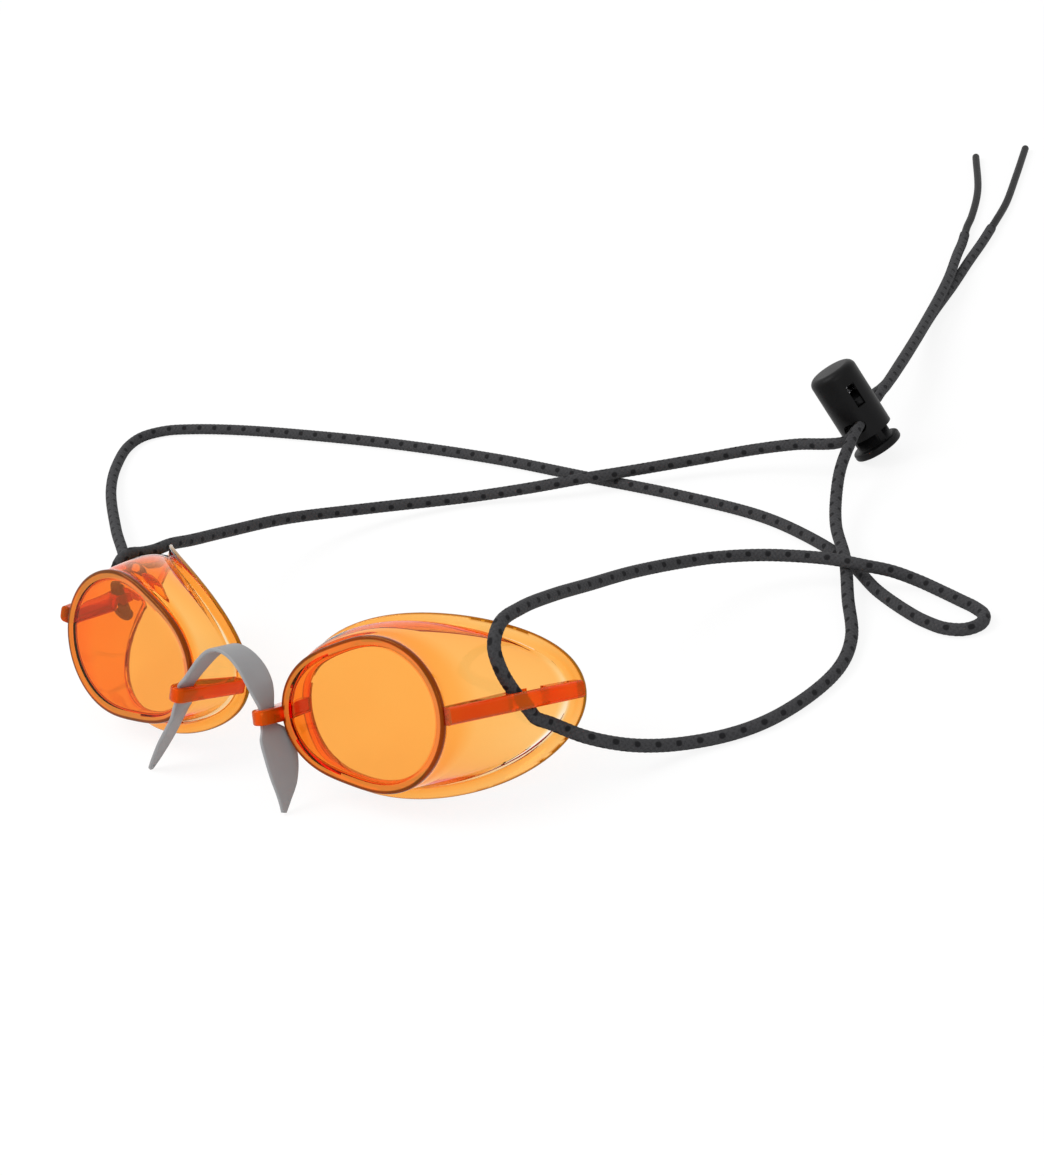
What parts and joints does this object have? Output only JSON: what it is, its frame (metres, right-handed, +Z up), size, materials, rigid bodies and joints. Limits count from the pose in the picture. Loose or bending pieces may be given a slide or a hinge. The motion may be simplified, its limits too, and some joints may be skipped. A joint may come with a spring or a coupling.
{
  "type": "swimming goggles",
  "caption": "Swimming goggles with hard tinted eyecups, a soft nose strap and an elastic braided cord gathered by a sprung barrel cord lock",
  "frame": {"origin": "On the surface that the goggles rest on, under the middle of the cups and nose strap; the cord and its lock lie behind and are left out of that middle.", "axes": "+X across the goggles to the wearer's right cup as seen from the windows' side, +Y from the windows back toward the head, +Z up."},
  "size_m": [0.2823, 0.4161, 0.038],
  "materials": {
    "tinted_shell": "clear orange tint, polished",
    "soft_strap": "satin grey",
    "braided_cord": "dark grey braid with black flecks",
    "cord_tip": "satin black",
    "lock_body": "satin black",
    "lock_button": "satin black",
    "spring_wire": "drawn wire"
  },
  "bodies": {
    "goggles": {"eyecup_left": "tinted_shell", "eyecup_right": "tinted_shell", "nose_strap": "soft_strap", "cord_loop": "braided_cord", "cord_left": "braided_cord", "cord_right": "braided_cord", "cord_tail_left": "braided_cord", "cord_tail_right": "braided_cord", "cord_tip_left": "cord_tip", "cord_tip_right": "cord_tip"},
    "lock": {"lock_barrel": "lock_body", "lock_spring": "spring_wire"},
    "plunger": {"lock_plunger": "lock_button"}
  },
  "joints": [
    {"name": "lock_slide", "type": "slide", "parent": "goggles", "child": "lock", "axis": [-0.309, 0.9511, 0], "range_m": [-0.005, 0.009]},
    {"name": "plunger_press", "type": "slide", "parent": "lock", "child": "plunger", "axis": [-0.4214, -0.1369, 0.8965], "range_m": [0, 0.0022], "stiffness_N_per_m": 1500, "springref_m": -0.002, "deforming": ["lock_spring"]}
  ]
}
